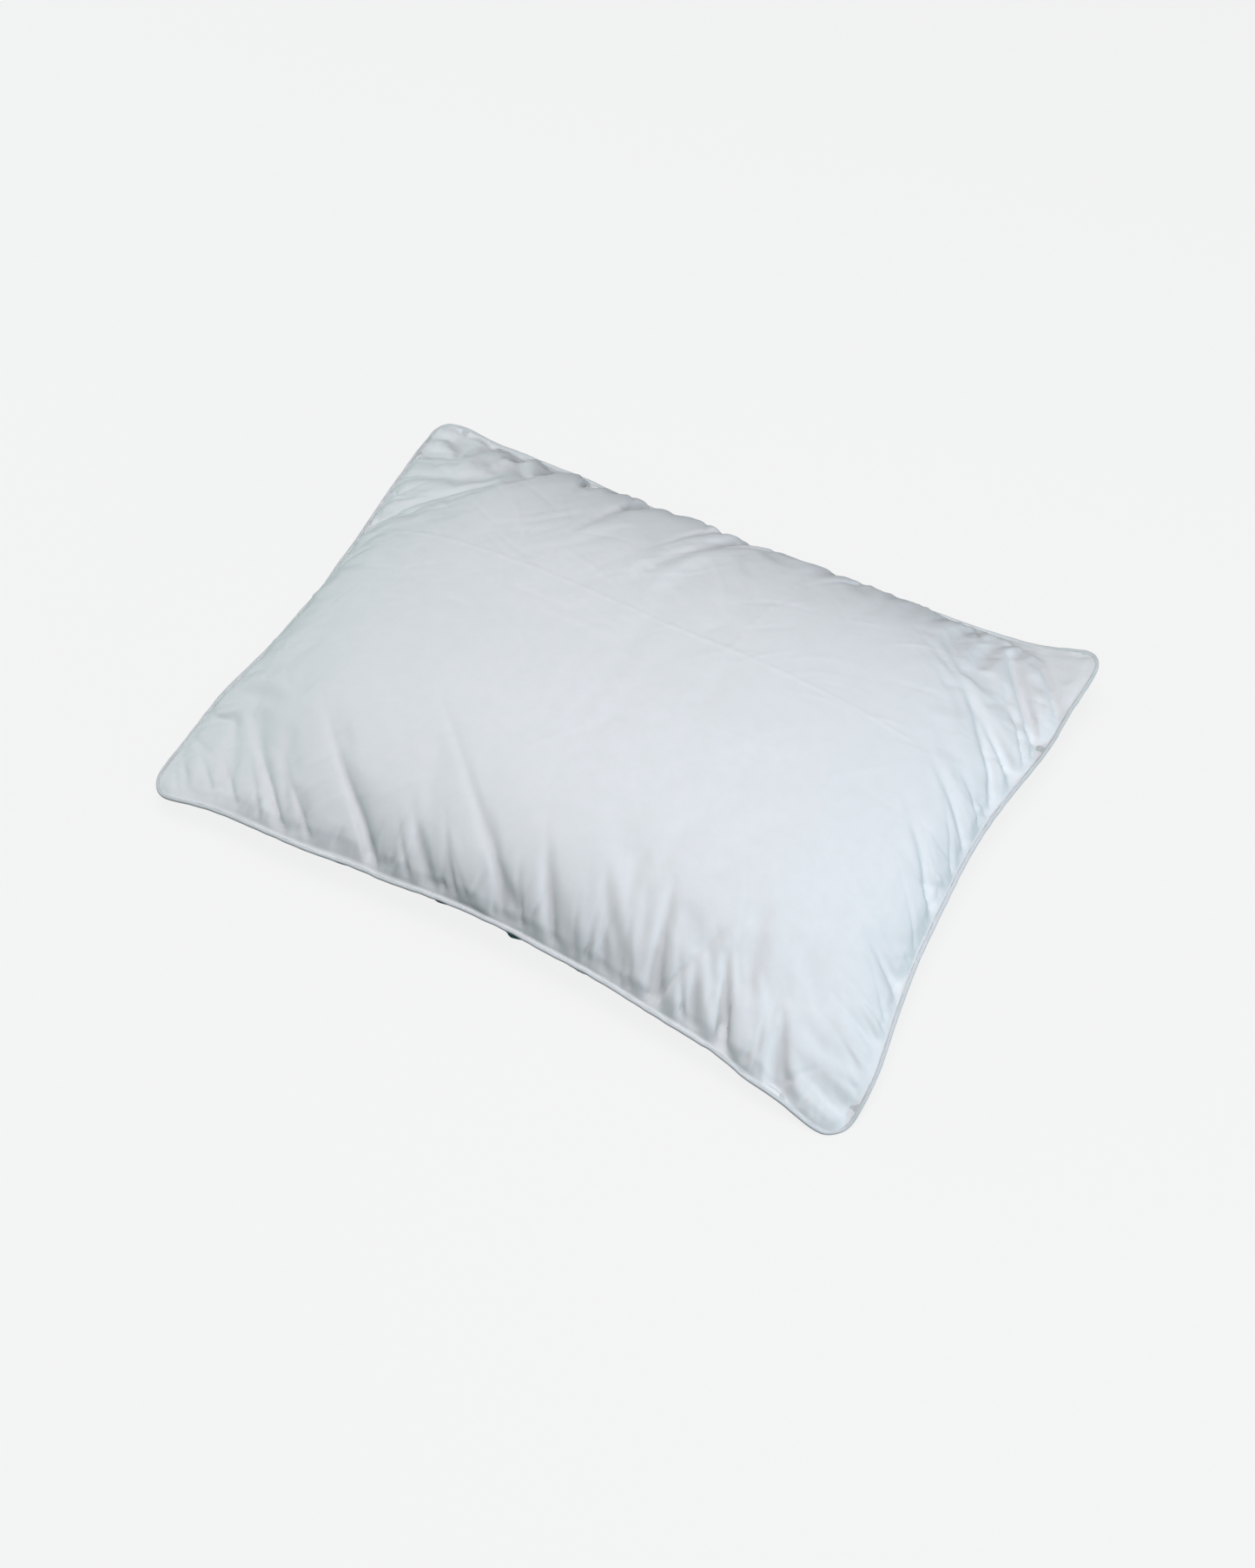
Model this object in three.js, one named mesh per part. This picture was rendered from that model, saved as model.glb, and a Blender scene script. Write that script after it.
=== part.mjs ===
// Bed pillow, standard size: a corded cotton shell round a feather core between two layers of down.
// Units are millimetres. +X runs along the length, +Y across the width and +Z up.
// The origin is the middle of the flat patch that the pillow rests on.

import * as THREE from 'three';
import { mergeVertices } from 'three/addons/utils/BufferGeometryUtils.js';

// ---------------------------------------------------------------- driving dimensions

const SEAM_LENGTH = 660; // the sewn length along X before the corners are rounded
const SEAM_WIDTH = 508; // the sewn width along Y
const CORNER_RADIUS = 22;
const SHORT_SIDE_PULL = 22; // how far the middle of each short side is drawn in by the filling
const LONG_SIDE_PULL = 20; // the same for each long side
const LOFT = 134; // height of the middle of the crown
const CORNER_SEAM_HEIGHT = 21; // height of the seam line at the corners
const SIDE_SEAM_HEIGHT = 47; // height of the seam line in the middle of each side
const CROWN_FLATNESS = 2.3; // a larger number gives a flatter middle and steeper sides
const CROWN_FULLNESS = 0.62; // a smaller number gives fuller sides
const SQUARING_SHARPNESS = 8; // a larger number keeps the corners of the crown round closer to the seam
const BELLY_SHARE = 0.62; // depth of the underside before it meets the ground, as a share of the crown

const CLOTH = 0.6; // thickness of one layer of cloth
const GAP = 0.3; // clearance between neighbouring pieces
const ALLOWANCE = 10; // seam allowance, turned to the inside
const FOLD_INSET = 1.3; // room for the fold between the seam line and the allowance's inner face
const DIVIDER_INSET = 2.6; // distance from the seam line to the edge of each inner casing sheet
const RIM_RISE = 6; // height that a panel gains in its first step away from the seam
const RIM_STEP = 6; // length of that step
const FILL_INSET = 14; // distance from the seam line to the filling
const TOP_DOWN_SHARE = 0.26; // share of the inside height that each layer of down takes
const BOTTOM_DOWN_SHARE = 0.26;

const PIPING_RADIUS = 2;
const CORD_RADIUS = 1.1;
const THREAD_RADIUS = 0.25;
const SEAM_THREAD_INSET = 3.5; // distance from the seam line to the line of stitching
const CLOSING_LENGTH = 180; // length of the stitched-up filling gap
const CLOSING_THREAD_RADIUS = 0.4;
const LABEL_WIDTH = 28;
const LABEL_DROP = 36;
const LABEL_PLACE = 100; // middle of the label along the back seam

// How finely the outline is divided: straight steps on each side and steps round each corner.
const LONG_SIDE_STEPS = 12;
const SHORT_SIDE_STEPS = 8;
const CORNER_STEPS = 4;
// Rings of the crown, as shares of the way from the middle to the filling's edge.
const RINGS = [0.4, 0.7, 0.88, 1];

// ---------------------------------------------------------------- outline of the seam

const HALF_LENGTH = SEAM_LENGTH / 2;
const HALF_WIDTH = SEAM_WIDTH / 2;

// One quarter of the sheet's outline before the sides are drawn in, from the middle of the right
// side round the corner towards the middle of the back side.
function quarterOutline() {
  const points = [];
  const rise = HALF_WIDTH - CORNER_RADIUS;
  const run = HALF_LENGTH - CORNER_RADIUS;
  for (let i = 0; i < SHORT_SIDE_STEPS / 2; i += 1) {
    points.push([HALF_LENGTH, (rise * i) / (SHORT_SIDE_STEPS / 2)]);
  }
  for (let i = 0; i < CORNER_STEPS; i += 1) {
    const turn = (Math.PI / 2) * (i / CORNER_STEPS);
    points.push([run + CORNER_RADIUS * Math.cos(turn), rise + CORNER_RADIUS * Math.sin(turn)]);
  }
  for (let i = 0; i < LONG_SIDE_STEPS / 2; i += 1) {
    points.push([run * (1 - i / (LONG_SIDE_STEPS / 2)), HALF_WIDTH]);
  }
  return points;
}

// The whole outline, anticlockwise seen from above, without a repeated point.
function sheetOutline() {
  const quarter = quarterOutline();
  const mirrored = quarter.map(([x, y]) => [-x, y]).reverse();
  const half = [...quarter, [0, HALF_WIDTH], ...mirrored];
  const lower = half.map(([x, y]) => [x, -y]).reverse().slice(1, -1);
  return [...half, ...lower];
}

// Draws the middle of each side in towards the centre, as the filling does.
function drawnIn([x, y]) {
  const alongLength = 1 - (x / HALF_LENGTH) ** 2;
  const alongWidth = 1 - (y / HALF_WIDTH) ** 2;
  return new THREE.Vector2(
    x * (1 - (SHORT_SIDE_PULL / HALF_LENGTH) * alongWidth),
    y * (1 - (LONG_SIDE_PULL / HALF_WIDTH) * alongLength),
  );
}

// A station is a place on the seam line: its point, the outward direction there, and its place on
// the flat sheet, with u along the length and v across the width, both from 0 to 1.
function seamStations() {
  const outline = sheetOutline();
  const points = outline.map(drawnIn);
  const count = points.length;
  return points.map((point, i) => {
    const before = points[(i + count - 1) % count];
    const after = points[(i + 1) % count];
    const arriving = point.clone().sub(before).normalize();
    const leaving = after.clone().sub(point).normalize();
    const along = arriving.add(leaving).normalize();
    const [x, y] = outline[i];
    return {
      point,
      outward: new THREE.Vector2(along.y, -along.x),
      u: Math.abs(x) / HALF_LENGTH,
      v: Math.abs(y) / HALF_WIDTH,
    };
  });
}

const STATIONS = seamStations();

// ---------------------------------------------------------------- surfaces of the filled pillow

// A ring runs round the pillow inside the seam line: inset from it up to FILL_INSET, then scaled
// towards the middle by share.
function planPoint(station, ring) {
  const { point, outward } = station;
  return point.clone().addScaledVector(outward, -ring.inset).multiplyScalar(ring.share);
}

// How far out a ring is, from 0 in the middle to 1 at the seam line.
function reach(ring) {
  return (1 - ring.inset / HALF_WIDTH) * ring.share;
}

// The place on the flat sheet that a ring has at a station. A rounded corner is stretched to the
// full square close to the seam, so that the crown comes down to nothing all round.
function sheetPlace(station, out) {
  const toSquare = 1 / Math.max(station.u, station.v) - 1;
  const stretch = 1 + toSquare * out ** SQUARING_SHARPNESS;
  return [out * station.u * stretch, out * station.v * stretch];
}

// Height of the crown over a place, from 0 at the seam line to 1 in the middle.
function crownShare(station, ring) {
  const [u, v] = sheetPlace(station, reach(ring));
  return ((1 - u ** CROWN_FLATNESS) * (1 - v ** CROWN_FLATNESS)) ** CROWN_FULLNESS;
}

// Height of the middle surface, which the seam lies in. It is lower at the corners.
function seamHeight(station, ring) {
  const inSeam = ring.inset <= ALLOWANCE && ring.share === 1;
  const [u, v] = sheetPlace(station, inSeam ? 1 : reach(ring));
  const lift = 1 - (u * v) ** 2;
  return CORNER_SEAM_HEIGHT + (SIDE_SEAM_HEIGHT - CORNER_SEAM_HEIGHT) * lift;
}

const SEAM_STACK = { // heights from the middle of the seam to the near face of each layer
  piping: GAP / 2,
  panel: GAP / 2 + (CLOTH + GAP),
  divider: GAP / 2 + 2 * (CLOTH + GAP),
  thread: GAP + 3 * (CLOTH + GAP),
};
const CROWN_HEIGHT = LOFT - SIDE_SEAM_HEIGHT - RIM_RISE;

function rimRise(ring) {
  return SEAM_STACK.panel + (RIM_RISE - SEAM_STACK.panel) * Math.min(1, ring.inset / RIM_STEP);
}

function topHeight(station, ring) {
  return seamHeight(station, ring) + rimRise(ring) + CROWN_HEIGHT * crownShare(station, ring);
}

function bottomHeight(station, ring) {
  const depth = rimRise(ring) + CROWN_HEIGHT * BELLY_SHARE * crownShare(station, ring);
  return Math.max(0, seamHeight(station, ring) - depth);
}

// Upright thickness of a layer of cloth on a slope, so that it keeps its own thickness.
function uprightCloth(heightAt, station, ring) {
  const step = 1;
  const steepest = 3;
  const inner = { inset: ring.inset + step, share: ring.share };
  const slope = Math.abs(heightAt(station, inner) - heightAt(station, ring)) / step;
  return CLOTH * Math.hypot(1, Math.min(slope, steepest));
}

function ceiling(station, ring) {
  return topHeight(station, ring) - uprightCloth(topHeight, station, ring) - GAP;
}

function ground(station, ring) {
  return bottomHeight(station, ring) + uprightCloth(bottomHeight, station, ring) + GAP;
}

// A height inside the shell, from 0 on the bottom panel to 1 under the top panel.
function insideHeight(share, lift = 0) {
  return (station, ring) => {
    const low = ground(station, ring);
    return low + (ceiling(station, ring) - low) * share + lift;
  };
}

// ---------------------------------------------------------------- lofting

const CENTRE_STATION = { point: new THREE.Vector2(), outward: new THREE.Vector2(), u: 1, v: 1 };
const CENTRE_RING = { inset: FILL_INSET, share: 0 };

// A closed loop of points round the pillow on one ring, at the height that heightAt gives.
function loop(ring, heightAt) {
  return STATIONS.map((station) => {
    const { x, y } = planPoint(station, ring);
    return new THREE.Vector3(x, y, heightAt(station, ring));
  });
}

// A loop at a fixed distance outside and above the seam line.
function seamLoop(outside, above) {
  return loop({ inset: -outside, share: 1 }, (station, ring) => {
    return seamHeight(station, { inset: 0, share: ring.share }) + above;
  });
}

// A loop shrunk to the middle of the pillow, which closes a surface over.
function centreLoop(heightAt) {
  const height = heightAt(CENTRE_STATION, CENTRE_RING);
  return STATIONS.map(() => new THREE.Vector3(0, 0, height));
}

// The rings of the crown from the middle outwards, at one height rule.
function crownLoops(heightAt) {
  const rings = RINGS.map((share) => loop({ inset: FILL_INSET, share }, heightAt));
  return [centreLoop(heightAt), ...rings];
}

// The two triangles between a pair of neighbouring stations on two loops. The quad is always split
// from the outer loop's first station, so that layers lying on each other are split alike.
function quad(first, second, i, next) {
  const [a, b, c, d] = [first[i], first[next], second[next], second[i]];
  const firstIsOuter = Math.hypot(a.x, a.y) > Math.hypot(d.x, d.y);
  return firstIsOuter ? [a, d, c, a, c, b] : [a, d, b, d, c, b];
}

// Triangles between two loops.
function band(first, second) {
  return first.flatMap((_, i) => quad(first, second, i, (i + 1) % first.length));
}

// Removes triangles that have shrunk to a line, as those round the middle of the pillow do.
function withoutSlivers(geometry) {
  const { array } = geometry.index;
  const kept = [];
  for (let i = 0; i < array.length; i += 3) {
    const [a, b, c] = [array[i], array[i + 1], array[i + 2]];
    if (a !== b && b !== c && c !== a) kept.push(a, b, c);
  }
  geometry.setIndex(kept);
  return geometry;
}

// A solid through a list of loops. The list starts and ends in the middle or comes back to its start.
function loft(loops) {
  const corners = loops.slice(1).flatMap((next, i) => band(loops[i], next));
  const surface = new THREE.BufferGeometry().setFromPoints(corners);
  const solid = withoutSlivers(mergeVertices(surface, 1e-3));
  solid.computeVertexNormals();
  return solid;
}

// A ring with the same section all the way round. The section lists (outside, above) pairs.
function sweptRing(section) {
  const loops = section.map(([outside, above]) => seamLoop(outside, above));
  return loft([...loops, loops[0]]);
}

// Points on an arc, from one angle to another in degrees, both included.
function arc(centreX, centreY, radius, from, to, steps) {
  return Array.from({ length: steps + 1 }, (_, i) => {
    const angle = THREE.MathUtils.degToRad(from + ((to - from) * i) / steps);
    return [centreX + radius * Math.cos(angle), centreY + radius * Math.sin(angle)];
  });
}

// ---------------------------------------------------------------- materials

const COTTON = 0xe9edf0;

function clothMaterial(color = COTTON) {
  return new THREE.MeshStandardMaterial({ color, roughness: 0.85, metalness: 0 });
}

function threadMaterial() {
  return new THREE.MeshStandardMaterial({ color: 0xf4f5f5, roughness: 0.6, metalness: 0 });
}

function fillMaterial(color) {
  return new THREE.MeshStandardMaterial({ color, roughness: 1, metalness: 0 });
}

function piece(name, geometry, material) {
  const mesh = new THREE.Mesh(geometry, material);
  mesh.name = name;
  return mesh;
}

// ---------------------------------------------------------------- shell

// A panel is one layer of cloth: the crown, the fold at the seam and the allowance turned inwards.
// side is 1 for the top panel and -1 for the bottom one.
function panelGeometry(heightAt, side) {
  const rim = { inset: RIM_STEP, share: 1 };
  const inner = (station, ring) => heightAt(station, ring) - side * uprightCloth(heightAt, station, ring);
  const near = side * SEAM_STACK.panel;
  const far = side * (SEAM_STACK.panel + CLOTH);
  const loops = [
    ...crownLoops(heightAt),
    loop(rim, heightAt),
    seamLoop(0, near),
    seamLoop(-DIVIDER_INSET, near),
    seamLoop(-ALLOWANCE, near),
    seamLoop(-ALLOWANCE, far),
    seamLoop(-DIVIDER_INSET, far),
    seamLoop(-FOLD_INSET, far),
    loop(rim, inner),
    ...crownLoops(inner).reverse(),
  ];
  return loft(side > 0 ? loops : loops.reverse());
}

function shellTopPanel() {
  return piece('shell_top_panel', panelGeometry(topHeight, 1), clothMaterial());
}

function shellBottomPanel() {
  return piece('shell_bottom_panel', panelGeometry(bottomHeight, -1), clothMaterial(0xe4e9ec));
}

// ---------------------------------------------------------------- piping

const PIPING_CENTRE = PIPING_RADIUS + GAP;

// The bias strip goes round the cord and both its edges run back into the seam.
function pipingCover() {
  const inside = PIPING_RADIUS - CLOTH;
  const outerMouth = THREE.MathUtils.radToDeg(Math.asin((SEAM_STACK.piping + CLOTH) / PIPING_RADIUS));
  const innerMouth = THREE.MathUtils.radToDeg(Math.asin(SEAM_STACK.piping / inside));
  const steps = 5;
  const leaf = (above) => [-ALLOWANCE, -DIVIDER_INSET, 0].map((outside) => [outside, above]);
  const section = [
    ...leaf(SEAM_STACK.piping + CLOTH),
    ...arc(PIPING_CENTRE, 0, PIPING_RADIUS, 180 - outerMouth, outerMouth - 180, steps),
    ...leaf(-SEAM_STACK.piping - CLOTH).reverse(),
    ...leaf(-SEAM_STACK.piping),
    ...arc(PIPING_CENTRE, 0, inside, innerMouth - 180, 180 - innerMouth, steps),
    ...leaf(SEAM_STACK.piping).reverse(),
  ];
  return piece('piping_cover', sweptRing(section), clothMaterial(0xeef1f3));
}

function roundSection(centreX, centreY, radius, sides) {
  return arc(centreX, centreY, radius, 360, 0, sides).slice(0, sides);
}

function pipingCord() {
  const section = roundSection(PIPING_CENTRE, 0, CORD_RADIUS, 7);
  return piece('piping_cord', sweptRing(section), clothMaterial(0xe8e4d8));
}

// ---------------------------------------------------------------- inner casing

// A divider is one flat sheet caught in the seam all round, with the core on one side of it.
function dividerGeometry(share, side) {
  const lower = insideHeight(share, -CLOTH / 2);
  const upper = insideHeight(share, CLOTH / 2);
  const near = side * SEAM_STACK.divider;
  const far = side * (SEAM_STACK.divider + CLOTH);
  const above = Math.max(near, far);
  const below = Math.min(near, far);
  return loft([
    ...crownLoops(upper),
    seamLoop(-ALLOWANCE, above),
    seamLoop(-DIVIDER_INSET, above),
    seamLoop(-DIVIDER_INSET, below),
    seamLoop(-ALLOWANCE, below),
    ...crownLoops(lower).reverse(),
  ]);
}

function upperDivider() {
  const geometry = dividerGeometry(1 - TOP_DOWN_SHARE, 1);
  return piece('upper_divider', geometry, clothMaterial(0xdfe3e4));
}

function lowerDivider() {
  const geometry = dividerGeometry(BOTTOM_DOWN_SHARE, -1);
  return piece('lower_divider', geometry, clothMaterial(0xdfe3e4));
}

// ---------------------------------------------------------------- filling

function fillGeometry(low, high) {
  return loft([...crownLoops(high), ...crownLoops(low).reverse()]);
}

function topDownFill() {
  const low = insideHeight(1 - TOP_DOWN_SHARE, CLOTH / 2 + GAP);
  return piece('top_down_fill', fillGeometry(low, ceiling), fillMaterial(0xf3f1ea));
}

function coreFeatherFill() {
  const low = insideHeight(BOTTOM_DOWN_SHARE, CLOTH / 2 + GAP);
  const high = insideHeight(1 - TOP_DOWN_SHARE, -CLOTH / 2 - GAP);
  return piece('core_feather_fill', fillGeometry(low, high), fillMaterial(0xe3ddd0));
}

function bottomDownFill() {
  const high = insideHeight(BOTTOM_DOWN_SHARE, -CLOTH / 2 - GAP);
  return piece('bottom_down_fill', fillGeometry(ground, high), fillMaterial(0xf3f1ea));
}

// ---------------------------------------------------------------- stitching and label

// The lockstitch lies along the allowances, the needle thread above them and the bobbin thread below.
function seamThread(name, side) {
  const above = side * (SEAM_STACK.thread + THREAD_RADIUS);
  const section = roundSection(-SEAM_THREAD_INSET, above, THREAD_RADIUS, 4);
  return piece(name, sweptRing(section), threadMaterial());
}

// A point in the notch between the top panel and the piping on the right short side, at a
// distance along the side from its middle.
function closingPoint(along) {
  const outside = 0.4;
  const above = 3.3;
  const rightSide = seamLoop(outside, above).filter(({ x }, i) => x > 0 && STATIONS[i].u === 1);
  rightSide.sort((a, b) => a.y - b.y);
  const after = rightSide.findIndex(({ y }) => y > along);
  const [low, high] = [rightSide[after - 1], rightSide[after]];
  return low.clone().lerp(high, (along - low.y) / (high.y - low.y));
}

function closingStitch() {
  const section = new THREE.Shape();
  section.absarc(0, 0, CLOSING_THREAD_RADIUS, 0, 2 * Math.PI);
  const parts = 9;
  const points = Array.from({ length: parts + 1 }, (_, i) => {
    return closingPoint(CLOSING_LENGTH * (i / parts - 0.5));
  });
  const geometry = new THREE.ExtrudeGeometry(section, {
    extrudePath: new THREE.CatmullRomCurve3(points),
    steps: 2 * parts,
    curveSegments: 3,
    bevelEnabled: false,
  });
  return piece('closing_stitch', geometry, threadMaterial());
}

// A folded loop of tape that hangs from the back seam, just behind the bottom panel.
function careLabel() {
  const backSide = STATIONS.filter((station) => station.point.y > 0 && station.v === 1);
  const nearest = backSide.reduce((best, station) => {
    const off = Math.abs(station.point.x - LABEL_PLACE);
    return off < Math.abs(best.point.x - LABEL_PLACE) ? station : best;
  });
  const thickness = 2 * CLOTH;
  const outline = new THREE.Shape();
  outline.moveTo(-LABEL_WIDTH / 2, -LABEL_DROP);
  outline.lineTo(LABEL_WIDTH / 2, -LABEL_DROP);
  outline.lineTo(LABEL_WIDTH / 2, 0);
  outline.lineTo(-LABEL_WIDTH / 2, 0);
  const geometry = new THREE.ExtrudeGeometry(outline, { depth: thickness, bevelEnabled: false });
  const label = piece('care_label', geometry, clothMaterial(0xf6f6f4));
  const top = seamHeight(nearest, { inset: 0, share: 1 }) - PIPING_RADIUS - GAP;
  const holder = new THREE.Group();
  holder.position.set(nearest.point.x, nearest.point.y, top);
  holder.rotation.z = Math.atan2(nearest.outward.y, nearest.outward.x) + Math.PI / 2;
  label.rotation.x = Math.PI / 2;
  label.position.y = -GAP;
  holder.add(label);
  return holder;
}

// ---------------------------------------------------------------- assembly

const shell = new THREE.Group();
shell.add(shellTopPanel(), shellBottomPanel(), pipingCover(), pipingCord(), careLabel());

const casing = new THREE.Group();
casing.add(upperDivider(), lowerDivider());

const filling = new THREE.Group();
filling.add(topDownFill(), coreFeatherFill(), bottomDownFill());

const stitching = new THREE.Group();
stitching.add(seamThread('seam_needle_thread', 1), seamThread('seam_bobbin_thread', -1), closingStitch());

const pillow = new THREE.Group();
pillow.add(shell, casing, filling, stitching);

export default pillow;
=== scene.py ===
"""A bed pillow: a corded cotton shell round a feather core that lies between two layers of down.

The shell is a cloth simulation of two flat panels that are sewn together round the edge and filled.
Every other piece is laid out on the simulated shell. Lengths are in metres.
"""
import math
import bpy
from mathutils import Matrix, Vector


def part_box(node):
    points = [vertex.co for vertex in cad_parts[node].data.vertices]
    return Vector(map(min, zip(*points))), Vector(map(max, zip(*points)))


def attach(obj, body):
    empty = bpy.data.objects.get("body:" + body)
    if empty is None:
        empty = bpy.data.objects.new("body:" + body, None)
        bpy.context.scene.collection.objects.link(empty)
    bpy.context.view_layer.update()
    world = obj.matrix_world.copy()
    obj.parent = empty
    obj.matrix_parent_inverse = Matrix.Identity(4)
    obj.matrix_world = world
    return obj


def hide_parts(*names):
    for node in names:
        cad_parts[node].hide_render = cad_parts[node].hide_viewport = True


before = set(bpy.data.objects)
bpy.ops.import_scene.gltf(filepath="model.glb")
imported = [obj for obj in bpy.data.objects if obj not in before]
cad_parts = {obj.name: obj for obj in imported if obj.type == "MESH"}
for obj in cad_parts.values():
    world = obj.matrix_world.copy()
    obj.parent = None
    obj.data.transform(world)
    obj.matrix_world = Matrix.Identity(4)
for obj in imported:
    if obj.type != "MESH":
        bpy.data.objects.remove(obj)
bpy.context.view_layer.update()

from types import SimpleNamespace

import bpy
import numpy as np
from mathutils import Vector


# ---------------------------------------------------------------- sizes

SEWN_LENGTH = 0.660  # from seam to seam on the flat panel, along X
SEWN_WIDTH = 0.508
CORNER = 0.030  # radius of the sewn corners
ALLOWANCE = 0.010  # cloth beyond the seam, turned inwards
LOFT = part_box("shell_top_panel")[1].z
CORD_RADIUS = 0.0011
CORNER_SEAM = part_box("piping_cord")[0].z + CORD_RADIUS  # height of the seam at the corners
SIDE_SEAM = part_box("piping_cord")[1].z - CORD_RADIUS  # and in the middle of the sides
SHORT_PULL = SEWN_LENGTH / 2 - 0.308  # how far the filling draws the middle of a short side in
LONG_PULL = SEWN_WIDTH / 2 - 0.234

CORNER_MOVES = {  # how far from the frame's corner each one starts, along X, Y and Z
    ("front", "left"): (0.006, 0.006, 0.019),
    ("front", "right"): (0.004, -0.008, 0.003),
    ("back", "left"): (-0.008, -0.005, 0.026),
    ("back", "right"): (0.009, 0.000, 0.027),
}
BACK_SLACK = 0.09  # share by which the filling is lower at the back and higher at the front
BACK_TUCK = 0.004  # how much further the back side is drawn in than the front
FRONT_LEFT_TUCK = 0.009  # how far the front side is tucked under near its left end
TUCK_PLACE, TUCK_WIDTH = -0.78, 0.16  # where that is, as shares of the half length
BOTTOM_SHARE = 0.62  # how far the bottom starts to bulge, as a share of the top

STEP = 0.004  # spacing of the simulated cloth
SEAM_HALF = 0.0006  # from the middle of the seam to each panel
PIPING_RADIUS = 0.0016
PIPING_OUT = 0.0017  # from the seam line to the middle of the piping
COVER_CLOTH = 0.0004
THREAD_RADIUS = 0.0002


# ---------------------------------------------------------------- the flat panel


def axis(length):
    """Places across the flat panel from side to side, with a step that fits the corners."""
    half = length / 2
    turn = np.linspace(0, CORNER, round(CORNER / STEP) + 1)[:-1]
    inner = half - CORNER
    middle = np.linspace(-inner, inner, 2 * round(inner / STEP) + 1)
    return np.concatenate([turn - half, middle, half - turn[::-1]])


def rounded(x, y):
    """The same places with the panel's square corners pressed into round ones."""
    corner_x = np.sign(x) * (SEWN_LENGTH / 2 - CORNER)
    corner_y = np.sign(y) * (SEWN_WIDTH / 2 - CORNER)
    s = np.clip((x - corner_x) * np.sign(x) / CORNER, 0, 1)
    t = np.clip((y - corner_y) * np.sign(y) / CORNER, 0, 1)
    in_corner = (s > 0) & (t > 0)
    round_x = corner_x + np.sign(x) * CORNER * s * np.sqrt(1 - t * t / 2)
    round_y = corner_y + np.sign(y) * CORNER * t * np.sqrt(1 - s * s / 2)
    return np.where(in_corner, round_x, x), np.where(in_corner, round_y, y)


def flat_panel():
    """The grid that both panels share: square places, rounded places and distances to the sides."""
    x, y = np.meshgrid(axis(SEWN_LENGTH), axis(SEWN_WIDTH), indexing="ij")
    cut_x, cut_y = rounded(x, y)
    return SimpleNamespace(
        x=x, y=y, cut_x=cut_x, cut_y=cut_y,
        u=x / (SEWN_LENGTH / 2), v=y / (SEWN_WIDTH / 2),
        from_end=SEWN_LENGTH / 2 - np.abs(x), from_side=SEWN_WIDTH / 2 - np.abs(y),
        shape=x.shape,
    )


PANEL = flat_panel()


def seam_distance(cloth):
    """How far each place of the flat cloth is from the nearest side."""
    return np.minimum(cloth.from_end, cloth.from_side)


def on_border():
    """Which of the grid's places lie on the seam."""
    border = np.zeros(PANEL.shape, bool)
    border[[0, -1], :] = True
    border[:, [0, -1]] = True
    return border


def border_walk():
    """The grid numbers of the border, anticlockwise seen from above, from the right front corner."""
    rows, columns = PANEL.shape
    right = [(rows - 1, j) for j in range(columns - 1)]
    back = [(i, columns - 1) for i in range(rows - 1, 0, -1)]
    left = [(0, j) for j in range(columns - 1, 0, -1)]
    front = [(i, 0) for i in range(rows - 1)]
    return np.array(right + back + left + front).T


def ring(row):
    """The grid numbers of the border moved inwards by some rows."""
    rows, columns = PANEL.shape
    i, j = border_walk()
    return np.clip(i, row, rows - 1 - row), np.clip(j, row, columns - 1 - row)


def smoothed_round(values, reach):
    """A running mean round a closed loop."""
    total = sum(np.roll(values, shift, axis=0) for shift in range(-reach, reach + 1))
    return total / (2 * reach + 1)


def unit(vectors):
    """The same directions, each with a length of 1."""
    return vectors / np.linalg.norm(vectors, axis=-1, keepdims=True)


# ---------------------------------------------------------------- the start of the simulation

# The folds that catch the eye, as (side, place along it, depth, half width, reach, lean). The place
# runs with X on the front and back and with Y on the right and left. A lean tips the fold along it.
# The depth is a multiple of fold_depth; the other lengths are in metres.
FOLDS = [
    ("front", 0.150, 1.9, 0.006, 0.045, -0.20),
    ("front", 0.185, 1.2, 0.005, 0.030, -0.30),
    ("front", 0.215, 1.7, 0.006, 0.032, -0.40),
    ("front", 0.105, 1.2, 0.006, 0.035, -0.35),
    ("front", 0.060, 1.3, 0.006, 0.040, -0.50),
    ("front", 0.015, 1.2, 0.005, 0.040, -0.60),
    ("front", -0.050, 1.2, 0.006, 0.035, -0.80),
    ("front", -0.105, 1.3, 0.005, 0.038, -1.00),
    ("front", -0.195, 1.1, 0.006, 0.040, -1.00),
    ("back", -0.235, 1.8, 0.009, 0.045, 0.30),
    ("back", -0.200, 1.5, 0.007, 0.035, 0.10),
    ("back", -0.150, 1.8, 0.008, 0.042, 0.10),
    ("back", -0.085, 2.2, 0.009, 0.055, -0.20),
    ("back", 0.020, 2.0, 0.010, 0.055, -0.35),
    ("back", 0.100, 1.2, 0.008, 0.050, -0.30),
    ("right", 0.175, 1.4, 0.006, 0.035, 1.40),
    ("right", 0.130, 2.6, 0.007, 0.045, 1.30),
    ("right", 0.095, 2.2, 0.006, 0.050, 0.60),
    ("right", 0.060, 1.6, 0.006, 0.050, 1.10),
    ("right", 0.010, 1.8, 0.006, 0.045, 0.60),
    ("right", -0.060, 1.6, 0.006, 0.040, 0.90),
    ("right", -0.130, 1.4, 0.006, 0.035, 0.30),
    ("left", 0.090, 1.2, 0.007, 0.040, 0.60),
    ("left", 0.040, 1.2, 0.007, 0.045, 0.50),
]
FRONT_LEAN = -0.45  # the gathers along the front lean to the left
SIDES = {"front": ("long", -1), "back": ("long", 1), "left": ("short", -1), "right": ("short", 1)}


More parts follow.
